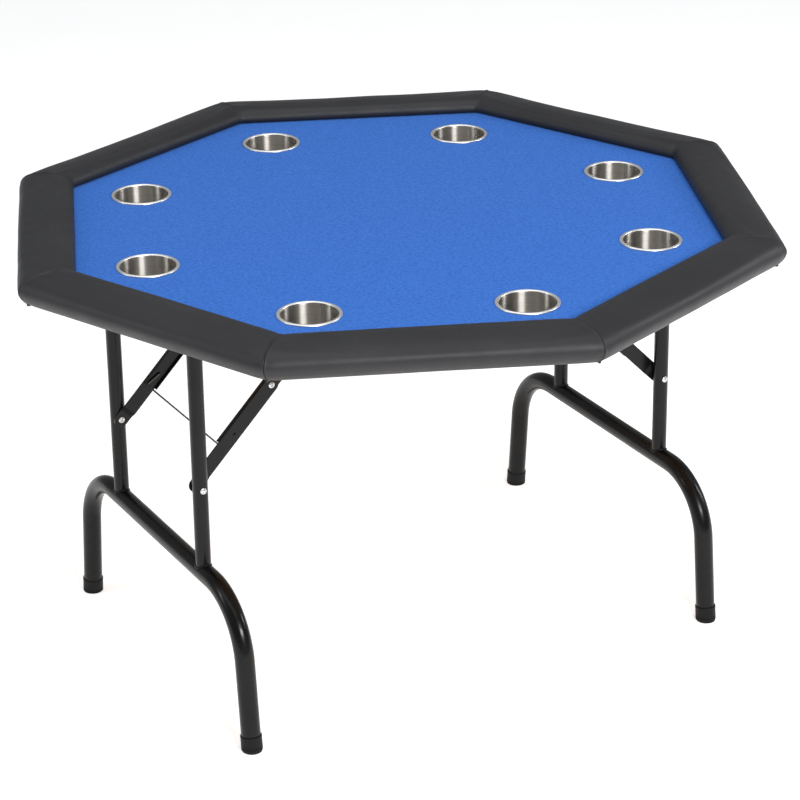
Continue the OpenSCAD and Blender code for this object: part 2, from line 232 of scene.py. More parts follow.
def brushed_steel():
    look = Look("cup_steel", Metallic=1.0, Anisotropic=1.0, Anisotropic_Rotation=0.25)
    tangent = look.nodes.new("ShaderNodeTangent")
    tangent.direction_type = "RADIAL"
    tangent.axis = "Z"
    look.links.new(tangent.outputs["Tangent"], look.shader.inputs["Tangent"])
    rings = look.noise(40, detail=3, stretch=(1, 1, 60))
    # The walls are the darker copy of the one steel: their tone is set down as painted shade inside
    # the cups.
    tone = look.ramp(rings, (0.3, srgb(170, 166, 159)), (0.7, srgb(200, 196, 190)))
    look.drive("Base Color", tone)
    look.drive("Roughness", look.ramp(rings, (0.3, 0.35), (0.7, 0.4)))
    look.bump(rings, 0.02 * MM, 0.3)
    return look.material


def rim_steel_painted_highlight():
    """The cups' rolled rims: a lighter copy of the cup steel, its near-white tone a painted
    highlight, with fine hairlines.
    """
    look = Look("rim_steel_painted_highlight", Metallic=1.0)
    hairlines = look.noise(900, detail=4)
    # Near-white tone: the painted highlight on the rims.
    tone = look.ramp(hairlines, (0.3, srgb(232, 231, 229)), (0.7, srgb(247, 247, 246)))
    look.drive("Base Color", tone)
    look.drive("Roughness", look.ramp(hairlines, (0.3, 0.34), (0.7, 0.44)))
    look.bump(hairlines, 0.02 * MM, 0.3)
    return look.material


def painted_steel(name, tone, roughness, peel):
    """Black enamel: smooth, with a faint orange peel and the odd duller patch."""
    look = Look(name, Specular_IOR_Level=0.2, Coat_Weight=0.1, Coat_Roughness=0.14)
    patches = look.noise(18, detail=4)
    darker = srgb(tone - 4, tone - 4, tone - 3)
    lighter = srgb(tone + 3, tone + 3, tone + 4)
    look.drive("Base Color", look.ramp(patches, (0.35, darker), (0.65, lighter)))
    look.drive("Roughness", look.ramp(patches, (0.3, roughness - 0.04), (0.7, roughness + 0.06)))
    look.bump(look.noise(peel, detail=2), 0.05 * MM, 0.25)
    return look.material


def bright_zinc(name, tone, roughness):
    look = Look(name, Metallic=1.0)
    spangle = look.noise(420, detail=3)
    low, high = srgb(tone - 22, tone - 22, tone - 20), srgb(tone, tone, tone + 2)
    look.drive("Base Color", look.ramp(spangle, (0.3, low), (0.7, high)))
    look.drive("Roughness", look.ramp(spangle, (0.3, roughness), (0.7, roughness + 0.12)))
    look.bump(spangle, 0.03 * MM, 0.4)
    return look.material


def cap_rubber():
    look = Look("cap_plastic", Specular_IOR_Level=0.2)
    dust = look.noise(70, detail=5)
    look.drive("Base Color", look.ramp(dust, (0.35, srgb(16, 16, 17)), (0.75, srgb(24, 24, 25))))
    look.drive("Roughness", look.ramp(dust, (0.3, 0.5), (0.7, 0.68)))
    look.bump(look.noise(1400, detail=2), 0.05 * MM, 0.4)
    return look.material


def board_wood():
    """The board's raw underside: pressed wood chips, sanded flat."""
    look = Look("wood", Specular_IOR_Level=0.25)
    chips = look.noise(210, detail=5, stretch=(1, 0.35, 1), roughness=0.7)
    pressed = look.noise(22, detail=3)
    fine = look.ramp(
        chips, (0.25, srgb(142, 104, 66)), (0.5, srgb(178, 139, 96)), (0.78, srgb(203, 169, 126))
    )
    broad = look.ramp(pressed, (0.3, srgb(158, 120, 80)), (0.7, srgb(190, 152, 108)))
    look.drive("Base Color", look.mix(0.35, fine, broad))
    look.drive("Roughness", look.ramp(chips, (0.3, 0.62), (0.7, 0.8)))
    look.bump(chips, 0.15 * MM, 0.35)
    return look.material


def packing_foam():
    look = Look("foam", Roughness=0.95, Specular_IOR_Level=0.1)
    pores = look.cells(700, "F1")
    tone = look.ramp(pores, (0.1, srgb(196, 190, 176)), (0.6, srgb(226, 221, 208)))
    look.drive("Base Color", tone)
    look.bump(pores, 0.3 * MM, 0.5)
    return look.material


MATERIALS = {
    "vinyl": vinyl(),
    "felt": felt(),
    "cup_steel": brushed_steel(),
    "rim_steel_painted_highlight": rim_steel_painted_highlight(),
    "leg_paint": painted_steel("leg_paint", 11, 0.26, 900),
    "link_paint": painted_steel("link_paint", 15, 0.34, 1300),
    "bracket_paint": painted_steel("bracket_paint", 22, 0.38, 1300),
    "zinc": bright_zinc("zinc", 224, 0.24),
    "wire": bright_zinc("wire", 112, 0.3),
    "dark_screw": bright_zinc("dark_screw", 96, 0.35),
    "cap_plastic": cap_rubber(),
    "wood": board_wood(),
    "foam": packing_foam(),
}

NODE_LOOKS = {
    "board": "wood",
    "rail_strips": "wood",
    "underlay": "foam",
    "leg_bracket": "bracket_paint",
    "brace_bracket": "bracket_paint",
    "bow": "leg_paint",
    "upright": "leg_paint",
    "lower_link": "link_paint",
    "upper_link": "link_paint",
    "lock_wire": "wire",
}


def dress_cad_nodes():
    """Gives the CAD nodes that stay their materials, and rounds the edges of plate parts."""
    bevels = {"leg_bracket": 0.5, "brace_bracket": 0.5, "lower_link": 0.4, "upper_link": 0.35}
    for node, piece in NODES.items():
        kind = next((k for k in NODE_LOOKS if node.startswith(k)), None)
        if kind is None:
            continue
        piece.data.materials.clear()
        piece.data.materials.append(MATERIALS[NODE_LOOKS[kind]])
        if kind in bevels:
            bevel = piece.modifiers.new("rounded_edges", "BEVEL")
            bevel.width = bevels[kind] * MM
            bevel.segments = 2
            bevel.limit_method = "ANGLE"
            bevel.angle_limit = math.radians(40)


# ---- Making pieces ----


def make_piece(name, points, faces, look, body):
    """A mesh piece with its material, riding on a body."""
    mesh = bpy.data.meshes.new(name)
    mesh.from_pydata([tuple(p) for p in points], [], [tuple(f) for f in faces])
    mesh.polygons.foreach_set("use_smooth", [True] * len(mesh.polygons))
    mesh.materials.append(MATERIALS[look])
    mesh.validate()
    mesh.update()
    piece = bpy.data.objects.new(name, mesh)
    bpy.context.scene.collection.objects.link(piece)
    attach(piece, body)
    return piece


def sharpen(piece, angle=35):
    """Keeps edges crisp where two faces meet at more than that angle, in degrees."""
    piece.data.set_sharp_from_angle(angle=math.radians(angle))


def lathe(profile, steps):
    """A closed solid of revolution about Z, from (radius, height) points that start and end at
    radius 0."""
    points, faces = [], []
    rings = []
    for r, z in profile:
        if r < 1e-9:
            rings.append([len(points)])
            points.append((0, 0, z))
        else:
            rings.append([len(points) + i for i in range(steps)])
            points += [
                (r * math.cos(2 * math.pi * i / steps), r * math.sin(2 * math.pi * i / steps), z)
                for i in range(steps)
            ]
    for low, high in zip(rings, rings[1:]):
        for i in range(steps):
            j = (i + 1) % steps
            if len(low) == 1:
                faces.append((low[0], high[j], high[i]))
            elif len(high) == 1:
                faces.append((low[i], low[j], high[0]))
            else:
                faces.append((low[i], low[j], high[j], high[i]))
    return points, faces


def arc(centre, radius, start, end, steps):
    """Points of a (radius, height) arc between two angles in degrees, ends included."""
    angles = [math.radians(start + (end - start) * i / steps) for i in range(steps + 1)]
    return [(centre[0] + radius * math.cos(a), centre[1] + radius * math.sin(a)) for a in angles]


def placed(shape, matrix):
    points, faces = shape
    return [matrix @ Vector(p) for p in points], faces


def joined(shapes):
    """Several shapes as the points and faces of one mesh."""
    points, faces = [], []
    for more_points, more_faces in shapes:
        base = len(points)
        points += list(more_points)
        faces += [tuple(base + i for i in f) for f in more_faces]
    return points, faces


# ---- The padded rail ----

SEAM_GAP = 0.4 * MM
SEAM_DIP = 0.9 * MM
CORNER_PULL = RAIL_OUT - (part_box("rail_pad_1")[1].x + 2 * MM) * math.cos(HALF_TURN)
PULL_REACH, DIP_REACH = 22 * MM, 24 * MM
PAD_ROWS = 88
PAD_SPAN = 46
PUFF_LIMIT = 1.6 * MM
PUFF_FRAMES = 18


def pad_cover():
    """The vinyl's section as (distance from the middle, height), from the tuck beside the felt,
    over the crown and down the outside, to the stapled edge under the board."""
    listed_points = [
        (RAIL_IN + 1.5 * MM, PLAY_Z + 0.2 * MM),
        (RAIL_IN - 0.2 * MM, PLAY_Z + 8 * MM),
        (RAIL_IN + 4.5 * MM, CROWN_Z - 8.5 * MM),
        (RAIL_IN + 16 * MM, CROWN_Z - 2.3 * MM),
        (RAIL_IN + 36 * MM, CROWN_Z),
        (RAIL_OUT - 24 * MM, CROWN_Z - 4.5 * MM),
        (RAIL_OUT - 7 * MM, CROWN_Z - 12.5 * MM),
        (RAIL_OUT, CROWN_Z - 26 * MM),
        (RAIL_OUT - 4.5 * MM, CROWN_Z - 39 * MM),
        (RAIL_OUT - 14 * MM, HEM_Z + 3 * MM),
        (RAIL_OUT - 20 * MM, HEM_Z + 0.3 * MM),
        (RAIL_OUT - 32 * MM, HEM_Z + 1 * MM),
        (FLAP_IN, HEM_Z + 2.4 * MM),
    ]
    return spaced_curve([Vector(p) for p in listed_points], PAD_SPAN)


def spaced_curve(points, count):
    """count points, evenly spaced along a smooth curve through the given ones."""
    fine = []
    padded = [points[0] * 2 - points[1], *points, points[-1] * 2 - points[-2]]
    for a, b, c, d in zip(padded, padded[1:], padded[2:], padded[3:]):
        for i in range(16):
            t = i / 16
            squared, cubed = 2 * a - 5 * b + 4 * c - d, 3 * b - a - 3 * c + d
            fine.append(0.5 * (2 * b + (c - a) * t + squared * t * t + cubed * t**3))
    fine = np.array([*fine, points[-1]], float)
    lengths = np.concatenate([[0], np.cumsum(np.linalg.norm(np.diff(fine, axis=0), axis=1))])
    even = np.linspace(0, lengths[-1], count)
    return np.stack([np.interp(even, lengths, fine[:, i]) for i in range(2)], axis=1)


def pad_backing():
    """The rest of the section, along the wood, from the stapled edge back to the tuck."""
    skin = 0.1 * MM
    wood_bottom, strip_top = BOARD_Z - skin, STRIP_TOP + skin
    return np.array([
        (FLAP_IN, wood_bottom),
        (WOOD_OUT + skin, wood_bottom),
        (WOOD_OUT + skin, (BOARD_Z + STRIP_TOP) / 2),
        (WOOD_OUT + skin, strip_top),
        ((WOOD_IN + WOOD_OUT) / 2, strip_top),
        (WOOD_IN - skin, strip_top),
        (WOOD_IN - skin, PLAY_Z + skin),
    ])


def smooth_step(x):
    x = np.clip(x, 0, 1)
    return x * x * (3 - 2 * x)


def pad_points(k, section, cover_count):
    """The pad's points, as rows along the side, each a ring round the section. The cover is
    drawn in towards the mitre seams, where the corners of the rail are pulled round."""
    rng = random.Random(40 + k)
    shift = Vector((rng.uniform(-9, 9), rng.uniform(-9, 9), rng.uniform(-9, 9)))
    x = np.linspace(-1, 1, PAD_ROWS + 1)
    along = 0.25 * x + 0.75 * np.sin(x * math.pi / 2)
    rows = []
    for s in along:
        ring = section.copy()
        r, z = ring[:cover_count, 0], ring[:cover_count, 1]
        to_seam = (1 - abs(s)) * r * TAN_HALF
        outer = smooth_step((r - (RAIL_IN + 25 * MM)) / (RAIL_OUT - RAIL_IN - 25 * MM))
        inner = smooth_step((RAIL_IN + 22 * MM - r) / (22 * MM))
        high = smooth_step((z - PLAY_Z) / (CROWN_Z - PLAY_Z))
        draw_in = np.clip(1 - to_seam / PULL_REACH, 0, 1) ** 2
        dip = np.clip(1 - to_seam / DIP_REACH, 0, 1) ** 2
        r -= outer * CORNER_PULL * draw_in
        r += inner * high * 0.4 * MM * dip
        z -= high * SEAM_DIP * dip
        lumps = np.array([
            noise.noise(Vector((s * 3.2, v * 0.045, 0)) + shift) for v in range(cover_count)
        ])
        free = smooth_step(to_seam / (30 * MM))
        z += lumps * 0.6 * MM * free * high
        r += lumps * 0.8 * MM * free * outer
        ring[:cover_count, 0], ring[:cover_count, 1] = r, z
        across = s * (ring[:, 0] * TAN_HALF - SEAM_GAP)
        rows.append(np.stack([ring[:, 0], across, ring[:, 1]], axis=1))
    return np.array(rows)


def quad(row, next_row, j, ring):
    """The face between two rows of points, each a closed ring, at place j."""
    following = (j + 1) % ring
    return (row * ring + j, next_row * ring + j, next_row * ring + following, row * ring + following)


def ring_faces(rows, ring):
    """Quads of a tube of rows, each a closed ring, with a face closing each end."""
    faces = [quad(i, i + 1, j, ring) for i in range(rows - 1) for j in range(ring)]
    faces.append(tuple(range(ring)))
    faces.append(tuple((rows - 1) * ring + j for j in reversed(range(ring))))
    return faces


def to_table(k, points):
    """Turns (distance, along, height) on side k into the model's own frame."""
    normal = side_normal(k)
    r, t, z = points[..., 0], points[..., 1], points[..., 2]
    return np.stack([r * normal.x - t * normal.y, r * normal.y + t * normal.x, z], axis=-1)


def puff_up(pads, held):
    """Blows the vinyl up a little over its foam by cloth simulation. The edges, the seams and
    the backing are held, and no point moves further than PUFF_LIMIT."""
    scene = bpy.context.scene
    for pad in pads:
        group = pad.vertex_groups.new(name="held")
        group.add(held, 1.0, "REPLACE")
        cloth = pad.modifiers.new("cloth", "CLOTH")
        settings = cloth.settings
        settings.quality = 4
        settings.mass = 0.4
        settings.vertex_group_mass = "held"
        settings.tension_stiffness = settings.compression_stiffness = 30
        settings.shear_stiffness = 15
        settings.bending_stiffness = 12
        settings.use_pressure = True
        settings.uniform_pressure_force = 1.6
        settings.shrink_min = 0.0
        settings.effector_weights.gravity = 0
        cloth.collision_settings.use_collision = False
        cloth.point_cache.frame_start, cloth.point_cache.frame_end = 1, PUFF_FRAMES
    for number in range(1, PUFF_FRAMES + 1):
        scene.frame_set(number)
    graph = bpy.context.evaluated_depsgraph_get()
    for pad in pads:
        rest = np.array([v.co for v in pad.data.vertices], float)
        moved = np.array([v.co for v in pad.evaluated_get(graph).data.vertices], float)
        step = moved - rest
        length = np.linalg.norm(step, axis=1, keepdims=True)
        step *= np.minimum(1, PUFF_LIMIT / np.maximum(length, 1e-9))
        pad.modifiers.clear()
        pad.vertex_groups.clear()
        pad.data.vertices.foreach_set("co", (rest + step).astype(np.float32).ravel())
        pad.data.update()
    scene.frame_set(1)


def refine(piece):
    """One round of subdivision, applied."""
    subdivide = piece.modifiers.new("subdivide", "SUBSURF")
    subdivide.levels = subdivide.render_levels = 1
    subdivide.boundary_smooth = "PRESERVE_CORNERS"
    graph = bpy.context.evaluated_depsgraph_get()
    finer = bpy.data.meshes.new_from_object(piece.evaluated_get(graph))
    piece.modifiers.clear()
    piece.data = finer


def rail_pads():
    cover, backing = pad_cover(), pad_backing()
    section = np.concatenate([cover, backing])
    ring, cover_count = len(section), len(cover)
    rows = PAD_ROWS + 1
    ends = {0, rows - 1}
    held = [
        i * ring + j
        for i in range(rows)
        for j in range(ring)
        if i in ends or j < 2 or j >= cover_count - 8
    ]
    pads = []
    for k in range(8):
        points = to_table(k, pad_points(k, section, cover_count)).reshape(-1, 3)
        pad = make_piece(f"rail_cover_{k + 1}", points, ring_faces(rows, ring), "vinyl", "top")
        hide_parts(f"rail_pad_{k + 1}")
        pads.append(pad)
    puff_up(pads, held)
    for k, pad in enumerate(pads):
        sharp_ends(pad, ring, rows)
        refine(pad)
        stitch_seams(pad, k)


def sharp_ends(pad, ring, rows):
    """Creases the edges of the two mitred end faces, so that they stay put."""
    crease = pad.data.attributes.new("crease_edge", "FLOAT", "EDGE")
    last = (rows - 1) * ring
    for edge in pad.data.edges:
        a, b = edge.vertices
        if (a < ring and b < ring) or (a >= last and b >= last):
            crease.data[edge.index].value = 1.0
            edge.use_edge_sharp = True


def stitch_seams(pad, k):
    """Draws the vinyl down into the mitre seams in a tight valley, with small gathers beside it."""
    normal = side_normal(k)
    along_side = Vector((-normal.y, normal.x, 0))
    mesh = pad.data
    depth, gather = 2.2 * MM, 0.35 * MM
    normals = np.zeros(len(mesh.vertices) * 3, np.float32)
    mesh.vertex_normals.foreach_get("vector", normals)
    co = np.zeros(len(mesh.vertices) * 3, np.float32)
    mesh.vertices.foreach_get("co", co)
    co, normals = co.reshape(-1, 3).astype(float), normals.reshape(-1, 3).astype(float)
    r, t = co @ np.array(normal), co @ np.array(along_side)
    to_seam = np.maximum(r * TAN_HALF - np.abs(t), 0)
    lateral = np.abs(normals @ np.array(along_side))
    outside = (co[:, 2] > PLAY_Z + 2 * MM) | (r > WOOD_OUT + 2 * MM)
    weight = outside * (lateral < 0.8)
    pleats = np.array([noise.noise(Vector(p) * 75) for p in co])
    valley = depth * np.exp(-to_seam / (1.5 * MM))
    rise = gather * pleats * np.exp(-to_seam / (12 * MM)) * smooth_step(to_seam / (4 * MM))
    flat = normals - np.outer(normals @ np.array(along_side), np.array(along_side))
    co += flat * (weight * (rise - valley))[:, None]
    mesh.vertices.foreach_set("co", co.astype(np.float32).ravel())
    mesh.update()


STAPLE_PITCH = 35 * MM


def flap_staples():
    """The staples that hold the vinyl's edge under the board."""
    wire_w, crown_w, crown_h = 1.2 * MM, 10 * MM, 0.7 * MM
    line = FLAP_IN + 6 * MM
    shapes = []
    for k in range(8):
        rng = random.Random(200 + k)
        for i in range(-6, 7):
            if i == 0:
                continue
            across = line + rng.uniform(-1, 1) * MM
            centre = np.array([across, i * STAPLE_PITCH + rng.uniform(-3, 3) * MM])
            lean = math.radians(rng.uniform(-14, 14))
            shapes.append(placed_on_side(k, staple(wire_w, crown_w, crown_h), centre, lean))
    points, faces = joined(shapes)
    staples = make_piece("flap_staples", points, faces, "zinc", "top")
    sharpen(staples)


def corner_tucks():
    """The small knots of folded vinyl under the corners, where the seams' ends are tucked away."""
    shapes = []
    for k in range(8):
        rng = random.Random(300 + k)
        wide, tall = rng.uniform(2.4, 3.0) * MM, rng.uniform(2.2, 2.8) * MM
        angles = [math.radians(10 * i) for i in range(19)]
        profile = [(wide * math.sin(a), -tall * math.cos(a)) for a in angles]
        points, faces = lathe([(0, profile[0][1]), *profile[1:-1], (0, profile[-1][1])], 28)
        shift = Vector((k * 5, 3, 1))
        folded = [p * (1 + 0.12 * noise.noise(p * 260 + shift)) for p in map(Vector, points)]
        folded = [Vector((p.x * 1.5, p.y * 0.75, p.z)) for p in folded]
        turn = Matrix.Rotation(k * math.radians(45), 4, "Z")
        corner = (RAIL_OUT - 17 * MM) / math.cos(HALF_TURN)
        place = Matrix.Translation((corner, 0, HEM_Z + 2.1 * MM))
        shapes.append(placed((folded, faces), turn @ place))
    points, faces = joined(shapes)
    make_piece("corner_tucks", points, faces, "vinyl", "top")


def staple(wire_w, crown_w, crown_h):
    """A staple's crown, seen from below: a flat wire whose ends turn up into the board."""
    corner = 0.9 * MM
    half = crown_w / 2
    line = [(-half, 1.5 * MM)] + [
        (x, z - crown_h)
        for x, z in [(-half, corner), (-half + 0.3 * corner, 0.3 * corner), (-half + corner, 0),
                     (half - corner, 0), (half - 0.3 * corner, 0.3 * corner), (half, corner)]
    ] + [(half, 1.5 * MM)]
    wall = wire_w / 2
    points = []
    for x, z in line:
        inner_x = x * (1 - wire_w / half) if abs(x) > half - corner else x
        top = z + 0.6 * MM
        points += [(-wall, x, z), (wall, x, z), (wall, inner_x, top), (-wall, inner_x, top)]
    return points, ring_faces(len(line), 4)


def placed_on_side(k, shape, centre, lean):
    """A small shape set under the vinyl's edge of side k, turned by lean."""
    flap_z = HEM_Z + 2.0 * MM
    turn = Matrix.Rotation(HALF_TURN + k * math.radians(45), 4, "Z")
    place = Matrix.Translation((centre[0], centre[1], flap_z))
    return placed(shape, turn @ place @ Matrix.Rotation(lean, 4, "Z"))


# ---- The felt ----

CUP_CENTRES = [(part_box(f"cup_{k}")[0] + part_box(f"cup_{k}")[1]) / 2 for k in range(1, 9)]
RIM_R = (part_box("cup_1")[1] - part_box("cup_1")[0]).y / 2
HOLE_R = RIM_R - 5 * MM


def felt_cover():
    """The felt, cut to an octagon with eight holes and pulled tight over its foam."""
    apothem = reach("felt", side_normal(0))[1]
    pitch = 9 * MM
    steps = 56
    corner_r = apothem / math.cos(HALF_TURN)
    outline = [
        (corner_r * math.cos(i * math.pi / 4), corner_r * math.sin(i * math.pi / 4)) for i in range(8)
    ]
    points, edges = [], []
    edge_steps = 44
    for i in range(8):
        a, b = Vector(outline[i]), Vector(outline[(i + 1) % 8])
        points += [a.lerp(b, j / edge_steps) for j in range(edge_steps)]
    edges += [(i, (i + 1) % len(points)) for i in range(len(points))]
    for centre in CUP_CENTRES:
        for ring_r in (HOLE_R, RIM_R - 0.5 * MM, RIM_R + 2 * MM, RIM_R + 6 * MM):
            base = len(points)
            points += [
                Vector((centre.x + ring_r * math.cos(2 * math.pi * i / steps),
                        centre.y + ring_r * math.sin(2 * math.pi * i / steps)))
                for i in range(steps)
            ]
            edges += [(base + i, base + (i + 1) % steps) for i in range(steps)]
    reach_out = int(corner_r / pitch) + 1
    for i in range(-reach_out, reach_out + 1):
        for j in range(-reach_out, reach_out + 1):
            p = Vector(((i + 0.5 * (j % 2)) * pitch, j * pitch * 0.866))
            if inside_octagon(p, apothem - 5 * MM) and clear_of_cups(p, RIM_R + 9 * MM):
                points.append(p)
    flat, _, triangles, *_ = geometry.delaunay_2d_cdt(points, edges, [], 0, 1e-6)
    kept = []
    for triangle in triangles:
        middle = sum((flat[i] for i in triangle), Vector((0, 0))) / 3
        if inside_octagon(middle, apothem) and clear_of_cups(middle, HOLE_R):
            kept.append(tuple(triangle))
    top = [(p.x, p.y, PLAY_Z + felt_relief(p, apothem)) for p in flat]
    count = len(top)
    bottom = [(p.x, p.y, FELT_BOTTOM) for p in flat]
    rim = {}
    for triangle in kept:
        for a, b in zip(triangle, triangle[1:] + triangle[:1]):
            rim[(a, b)] = (b, a) not in rim
            if (b, a) in rim:
                rim[(b, a)] = rim[(a, b)] = False
    walls = [(b, a, a + count, b + count) for (a, b), free in rim.items() if free]
    under = [tuple(i + count for i in reversed(t)) for t in kept]
    cover = make_piece("felt_cover", top + bottom, kept + under + walls, "felt", "top")
    sharpen(cover, 50)
    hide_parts("felt")


def inside_octagon(p, apothem):
    return all(p.x * side_normal(k).x + p.y * side_normal(k).y < apothem for k in range(8))


def clear_of_cups(p, radius):
    return all((p - c.xy).length > radius for c in CUP_CENTRES)


def felt_relief(p, apothem):
    """How far the felt's surface lies above its flat height: it is pressed under the rims,
    tucked down beside the rail and faintly uneven over its foam."""
    edge = min(apothem - (p.x * side_normal(k).x + p.y * side_normal(k).y) for k in range(8))
    tuck = 0.5 * MM * math.exp(-max(edge - 9 * MM, 0) / (4 * MM))
    cup = min((p - c.xy).length for c in CUP_CENTRES) - RIM_R
    press = 0.35 * MM * math.exp(-max(cup, 0) / (5 * MM))
    broad = 0.16 * MM * noise.noise(Vector((p.x * 9, p.y * 9, 4)))
    fine = 0.06 * MM * noise.noise(Vector((p.x * 45, p.y * 45, 8)))
    return broad + fine - tuck - press


# ---- Cups ----


def drinks_cups():
    """Pressed steel cups with a rolled rim, straight walls and a stepped floor."""
    for k, centre in enumerate(CUP_CENTRES):
        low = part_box(f"cup_{k + 1}")[0].z
        inner_r, wall, fillet = 45 * MM, 0.7 * MM, 6 * MM
        rim_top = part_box(f"cup_{k + 1}")[1].z
        roll_r, roll_h = (RIM_R - inner_r) / 2, rim_top - PLAY_Z
        floor_z = low + wall
        profile = [
            (0, floor_z + 0.6 * MM), (14 * MM, floor_z + 0.6 * MM), (15 * MM, floor_z + 0.2 * MM),
            (16 * MM, floor_z), (30 * MM, floor_z), (31 * MM, floor_z + 0.3 * MM),
        ]
        profile += arc((inner_r - fillet, floor_z + fillet), fillet, -90, 0, 8)
        wall_r, depth = inner_r + 0.1 * MM, rim_top - floor_z
        profile += [(wall_r, floor_z + depth * t) for t in (0.3, 0.5, 0.7, 0.88)]
        profile += [
            (RIM_R - roll_r + roll_r * math.cos(a), PLAY_Z + roll_h * math.sin(a))
            for a in (math.radians(180 - 12 * i) for i in range(16))
        ]
        profile += [
            (RIM_R - 3 * MM, PLAY_Z + 0.1 * MM), (inner_r + wall + 2 * MM, PLAY_Z + 0.1 * MM),
            (inner_r + wall, PLAY_Z - 2 * MM),
        ]
        profile += arc((inner_r - fillet, low + fillet + wall), fillet + wall, 0, -90, 8)
        profile += [(0, low)]
        shape = lathe(list(reversed(profile)), 112)
        cup = make_piece(f"drinks_cup_{k + 1}", *shape, "cup_steel", "top")
        cup.location = centre.xy.to_3d()
        # The rim faces take the lighter copy of the steel, a painted highlight; the walls keep the
        # darker copy, painted shade inside the cup.
        cup.data.materials.append(MATERIALS["rim_steel_painted_highlight"])
        for face in cup.data.polygons:
            on_painted_highlight_rim = face.center.z > PLAY_Z + 0.4 * MM and face.center.xy.length > wall_r
            face.material_index = int(on_painted_highlight_rim)
        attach(cup, "top")
        sharpen(cup, 60)
        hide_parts(f"cup_{k + 1}")


# ---- Fasteners ----

HEAD_H = 2.2 * MM


def domed_head(radius, height):
    """The outer face of a rivet's head, from its dimpled middle to its rim, at height 0 and up."""
    dimple = 0.36 * radius
    dome = [
        (0, 0.95 * height), (0.7 * dimple, 0.9 * height), (0.95 * dimple, 0.2 * height),
        (1.3 * dimple, 0),
    ]
    dome += [
        (radius * math.sin(a), height * 0.75 * (1 - math.cos(a)))
        for a in (math.radians(d) for d in (44, 56, 68, 80))
    ]
    return dome + [(radius, 0.85 * height), (radius * 0.98, height)]


def rivet(low, high, shank_r, heads):
    """A rivet along Y through a box. heads says which ends have a head, towards -Y and +Y."""
    radius, length = (high.x - low.x) / 2, high.y - low.y
    cut_end = [(0, 0), (shank_r * 0.9, 0), (shank_r, 0.1 * MM)]
    start, end = (domed_head(radius, HEAD_H) if headed else cut_end for headed in heads)
    profile = start + ([(shank_r, HEAD_H)] if heads[0] else [])
    profile += [(shank_r, length - HEAD_H)] if heads[1] else []
    profile += [(r, length - z) for r, z in reversed(end)]
    turn = Matrix.Rotation(math.radians(-90), 4, "X")
    middle = Matrix.Translation(((low.x + high.x) / 2, low.y, (low.z + high.z) / 2))
    return placed(lathe(profile, 32), middle @ turn)


def rivets():
    """Domed rivets in place of every plain CAD pin."""
    both = {"leg_pivot_pins": ("top", 4 * MM), "brace_top_rivets": ("top", 3 * MM)}
    for side in SIDES:
        both[f"brace_foot_rivets_{side}"] = (f"leg_frame_{side}", 3 * MM)
    single = {}
    for side in SIDES:
        single[f"knee_rivets_{side}"] = (f"lower_links_{side}", 1)
        single[f"knee_rivet_tails_{side}"] = (f"upper_links_{side}", -1)
    for node, (body, shank_r) in both.items():
        shapes = [rivet(low, high, shank_r, (True, True)) for low, high in solids_of(node)]
        finish_rivets(node, shapes, body)
    for node, (body, outwards) in single.items():
        shapes = []
        for low, high in solids_of(node):
            head_at_high = (low.y > 0) == (outwards > 0)
            shapes.append(rivet(low, high, 3 * MM, (not head_at_high, head_at_high)))
        finish_rivets(node, shapes, body)


def finish_rivets(node, shapes, body):
    points, faces = joined(shapes)
    piece = make_piece(f"{node}_domed", points, faces, "zinc", body)
    sharpen(piece, 50)
    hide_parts(node)


def pan_screw(low, high):
    """A pan-head screw seen from below, with a cross recess. The shank goes up into the wood."""
    head_r, head_h, shank_r = (high.x - low.x) / 2, 2.4 * MM, 2.2 * MM
    steps, slot_w, slot_l, slot_depth = 40, 0.5 * MM, 2.2 * MM, 1.1 * MM
    profile = [(0, 0)] + [(0.16 * i * MM * 1.6, 0.02 * i * i * MM * 0.5) for i in range(1, 10)]
    profile += arc((head_r - 1.5 * MM, 1.5 * MM), 1.5 * MM, -55, 10, 5)
    profile += [(head_r, head_h), (shank_r, head_h), (shank_r, high.z - low.z), (0, high.z - low.z)]
    points, faces = lathe(profile, steps)
    cut = []
    for x, y, z in points:
        in_slot = (abs(x) < slot_w and abs(y) < slot_l) or (abs(y) < slot_w and abs(x) < slot_l)
        cut.append((x, y, z + slot_depth * in_slot * (z < 1.2 * MM)))
    middle = Matrix.Translation(((low.x + high.x) / 2, (low.y + high.y) / 2, low.z))
    turn = Matrix.Rotation(1000 * (low.x + 3 * low.y), 4, "Z")
    return placed((cut, faces), middle @ turn)


def screws():
    for node, look in {"bracket_screws": "zinc", "rail_screws": "dark_screw"}.items():
        points, faces = joined(pan_screw(low, high) for low, high in solids_of(node))
        piece = make_piece(f"{node}_cross_head", points, faces, look, "top")
        sharpen(piece, 40)
        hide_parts(node)


# ---- Leg frames ----


def weld_beads():
    """The rippled fillet weld round the foot of each upright, where it sits on the bow."""
    for side in SIDES:
        low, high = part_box(f"bow_{side}")
        bow_r = (high.x - low.x) / 2
        bow_axis_z = high.z - bow_r
        shapes = []
        for end in ENDS:
            low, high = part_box(f"upright_{side}_{end}")
            centre, post_r = (low + high) / 2, (high.x - low.x) / 2
            shapes.append(bead(centre, post_r, bow_r, bow_axis_z))
        points, faces = joined(shapes)
        welds = make_piece(f"weld_beads_{side}", points, faces, "leg_paint", f"leg_frame_{side}")
        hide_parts(f"leg_welds_{side}")


